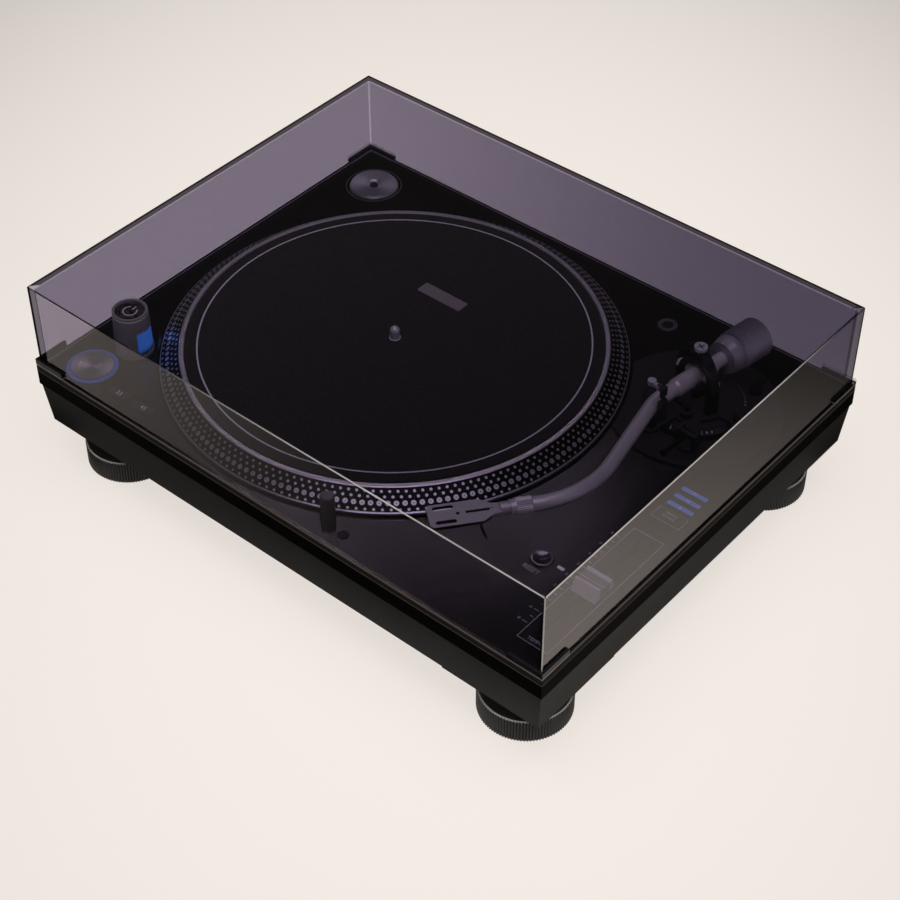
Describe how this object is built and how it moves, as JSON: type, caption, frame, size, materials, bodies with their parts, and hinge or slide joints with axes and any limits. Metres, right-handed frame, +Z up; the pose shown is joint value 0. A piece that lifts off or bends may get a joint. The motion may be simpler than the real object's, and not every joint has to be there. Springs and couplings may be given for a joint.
{
  "type": "direct drive turntable",
  "caption": "Direct drive turntable: dotted-rim platter with slipmat, S-shaped gimbal tonearm, tempo slider and knurled feet under a smoked lift-off cover.",
  "frame": {"origin": "middle of the footprint, on the floor under the feet", "axes": "+X to the right along the front, +Y to the back, +Z up; the front with the controls faces -Y"},
  "size_m": [0.453, 0.353, 0.159],
  "materials": {
    "base": "moulded resin base, fine grain",
    "deck": "satin black cast deck",
    "steel": "zinc plated",
    "screw": "blackened screws",
    "laminate": "stacked laminations",
    "copper": "enamelled copper windings",
    "bearing": "turned housing",
    "board": "circuit board with parts",
    "transformer": "laminated core with windings",
    "panel": "black moulded panel",
    "jack": "plated contacts",
    "tower": "dark grey satin",
    "blue_lens": "lit blue lens",
    "button_metal": "spun face",
    "key": "black keys",
    "slider": "satin cap",
    "socket": "plated sleeve",
    "adapter": "spun face",
    "platter": "dark anodised with a polished ring",
    "spindle": "polished",
    "magnet": "sintered ring",
    "felt": "black felt",
    "arm_dark": "black satin castings",
    "arm_metal": "dark satin metal",
    "weight": "dark satin weight",
    "lift": "light grey",
    "acrylic": "smoked clear cover",
    "shoe": "black corner shoes",
    "foot": "black knurled feet"
  },
  "bodies": {
    "plinth": {"base_chassis": "base", "top_deck": "deck", "steel_plate": "steel", "chassis_screws": "screw", "motor_stator": "laminate", "motor_coils": "copper", "bearing_housing": "bearing", "main_board": "board", "power_transformer": "transformer", "terminal_panel": "panel", "ac_inlet": "panel", "phono_jacks": "jack", "ground_post": "jack", "strobe_tower": "tower", "strobe_window": "blue_lens", "start_light_ring": "blue_lens", "range_lights": "blue_lens", "tempo_panel": "deck", "tempo_fader": "steel", "headshell_socket": "socket", "arm_base_plate": "arm_dark"},
    "cover": {"dust_cover": "acrylic", "cover_shoes": "shoe"},
    "platter": {"platter": "platter", "spindle": "spindle", "rotor_magnet": "magnet"},
    "slipmat": {"slipmat": "felt"},
    "arm_mount": {"arm_carrier": "arm_dark", "gimbal_arch": "arm_metal", "arm_rest": "key"},
    "gimbal": {"gimbal_ring": "arm_metal"},
    "tonearm": {"arm_sleeve": "arm_metal", "arm_tube": "arm_metal", "rear_shaft": "steel"},
    "headshell": {"headshell": "arm_metal", "finger_lift": "arm_metal"},
    "height_ring": {"height_ring": "arm_dark"},
    "height_lock": {"height_lock": "arm_metal"},
    "bias_knob": {"bias_knob": "arm_dark"},
    "cue_lever": {"cue_lever": "arm_metal"},
    "lift_bar": {"lift_bar": "lift"},
    "arm_clip": {"arm_clip": "key"},
    "counterweight": {"counterweight": "weight"},
    "weight_dial": {"weight_dial": "arm_metal"},
    "locking_nut": {"locking_nut": "arm_metal"},
    "power_knob": {"power_knob": "tower"},
    "start_button": {"start_button": "button_metal"},
    "speed_button_33": {"speed_button_33": "key"},
    "speed_button_45": {"speed_button_45": "key"},
    "reset_button": {"reset_button": "key"},
    "range_button": {"range_button": "key"},
    "light_button": {"light_button": "key"},
    "stylus_light": {"stylus_light": "arm_dark"},
    "tempo_slider": {"tempo_slider": "slider"},
    "single_adapter": {"single_adapter": "adapter"},
    "ground_nut": {"ground_nut": "jack"},
    "foot_fl": {"foot_fl": "foot"},
    "foot_fr": {"foot_fr": "foot"},
    "foot_bl": {"foot_bl": "foot"},
    "foot_br": {"foot_br": "foot"}
  },
  "joints": [
    {"name": "cover_lift", "type": "slide", "parent": "plinth", "child": "cover", "axis": [0, 0, 1], "range_m": [0, 0.25]},
    {"name": "platter_spin", "type": "hinge", "parent": "plinth", "child": "platter", "pos_m": [-0.0415, -0.004, 0.09], "axis": [0, 0, 1], "continuous": true},
    {"name": "slipmat_slip", "type": "hinge", "parent": "platter", "child": "slipmat", "pos_m": [-0.0415, -0.004, 0.1028], "axis": [0, 0, 1], "continuous": true},
    {"name": "arm_height", "type": "slide", "parent": "plinth", "child": "arm_mount", "axis": [0, 0, 1], "range_m": [0, 0.006]},
    {"name": "height_ring_turn", "type": "hinge", "parent": "plinth", "child": "height_ring", "pos_m": [0.15491, 0.08345, 0.095], "axis": [0, 0, 1], "range_deg": [-1, 301]},
    {"name": "height_lock_turn", "type": "hinge", "parent": "plinth", "child": "height_lock", "pos_m": [0.17791, 0.12345, 0.093], "axis": [0, 0, 1], "range_deg": [0, 45]},
    {"name": "bias_turn", "type": "hinge", "parent": "arm_mount", "child": "bias_knob", "pos_m": [0.19591, 0.08345, 0.1055], "axis": [0, 0, 1], "range_deg": [0, 300]},
    {"name": "cue_raise", "type": "hinge", "parent": "arm_mount", "child": "cue_lever", "pos_m": [0.17791, 0.04045, 0.1095], "axis": [-1, 0, 0], "range_deg": [0, 45]},
    {"name": "lift_rise", "type": "slide", "parent": "arm_mount", "child": "lift_bar", "axis": [0, 0, 1], "range_m": [-0.00005, 0.00265]},
    {"name": "clip_close", "type": "hinge", "parent": "arm_mount", "child": "arm_clip", "pos_m": [0.15776, 0.03761, 0.1285], "axis": [-0.1392, -0.9903, 0], "range_deg": [0, 88]},
    {"name": "arm_swing", "type": "hinge", "parent": "arm_mount", "child": "gimbal", "pos_m": [0.15491, 0.08345, 0.1215], "axis": [0, 0, -1], "range_deg": [0, 36]},
    {"name": "arm_tilt", "type": "hinge", "parent": "gimbal", "child": "tonearm", "pos_m": [0.15491, 0.08345, 0.1215], "axis": [-0.9903, 0.1392, 0], "range_deg": [-1, 6.5]},
    {"name": "weight_turn", "type": "hinge", "parent": "tonearm", "child": "counterweight", "pos_m": [0.16118, 0.12801, 0.1215], "axis": [-0.1392, -0.9903, 0], "continuous": true},
    {"name": "dial_turn", "type": "hinge", "parent": "counterweight", "child": "weight_dial", "pos_m": [0.15895, 0.11217, 0.1215], "axis": [-0.1392, -0.9903, 0], "continuous": true},
    {"name": "nut_turn", "type": "hinge", "parent": "tonearm", "child": "locking_nut", "pos_m": [0.14411, -0.09206, 0.1215], "axis": [-0.6225, -0.7826, 0], "range_deg": [0, 90]},
    {"name": "headshell_pull", "type": "slide", "parent": "tonearm", "child": "headshell", "axis": [-0.6225, -0.7826, 0], "range_m": [0, 0.015]},
    {"name": "power_turn", "type": "hinge", "parent": "plinth", "child": "power_knob", "pos_m": [-0.18624, -0.11954, 0.12], "axis": [0, 0, 1], "range_deg": [0, 60]},
    {"name": "start_press", "type": "slide", "parent": "plinth", "child": "start_button", "axis": [0, 0, 1], "range_m": [-0.001, 0], "stiffness_N_per_m": 400},
    {"name": "speed_33_press", "type": "slide", "parent": "plinth", "child": "speed_button_33", "axis": [0, 0, 1], "range_m": [-0.001, 0], "stiffness_N_per_m": 400},
    {"name": "speed_45_press", "type": "slide", "parent": "plinth", "child": "speed_button_45", "axis": [0, 0, 1], "range_m": [-0.001, 0], "stiffness_N_per_m": 400},
    {"name": "reset_press", "type": "slide", "parent": "plinth", "child": "reset_button", "axis": [0, 0, 1], "range_m": [-0.001, 0], "stiffness_N_per_m": 400},
    {"name": "range_press", "type": "slide", "parent": "plinth", "child": "range_button", "axis": [0, 0, 1], "range_m": [-0.001, 0], "stiffness_N_per_m": 400},
    {"name": "light_press", "type": "slide", "parent": "plinth", "child": "light_button", "axis": [0, 0, 1], "range_m": [-0.001, 0], "stiffness_N_per_m": 400},
    {"name": "stylus_light_drop", "type": "slide", "parent": "plinth", "child": "stylus_light", "axis": [0, 0, 1], "range_m": [-0.027, 0]},
    {"name": "tempo_slide", "type": "slide", "parent": "plinth", "child": "tempo_slider", "axis": [0, 1, 0], "range_m": [-0.048, 0.048]},
    {"name": "adapter_lift", "type": "slide", "parent": "plinth", "child": "single_adapter", "axis": [0, 0, 1], "range_m": [0, 0.04]},
    {"name": "ground_nut_turn", "type": "hinge", "parent": "plinth", "child": "ground_nut", "pos_m": [0.094, 0.1635, 0.05925], "axis": [0, 1, 0], "continuous": true},
    {"name": "foot_fl_turn", "type": "hinge", "parent": "plinth", "child": "foot_fl", "pos_m": [-0.1847, -0.1368, 0.01], "axis": [0, 0, 1], "range_deg": [-180, 180]},
    {"name": "foot_fr_turn", "type": "hinge", "parent": "plinth", "child": "foot_fr", "pos_m": [0.1847, -0.1368, 0.01], "axis": [0, 0, 1], "range_deg": [-180, 180]},
    {"name": "foot_bl_turn", "type": "hinge", "parent": "plinth", "child": "foot_bl", "pos_m": [-0.1847, 0.1368, 0.01], "axis": [0, 0, 1], "range_deg": [-180, 180]},
    {"name": "foot_br_turn", "type": "hinge", "parent": "plinth", "child": "foot_br", "pos_m": [0.1847, 0.1368, 0.01], "axis": [0, 0, 1], "range_deg": [-180, 180]}
  ],
  "couplings": [
    {"joint": "height_ring_turn", "follows": "arm_height", "rad_per_m": 872.66},
    {"joint": "lift_rise", "follows": "cue_raise", "m_per_rad": 0.0033104}
  ]
}
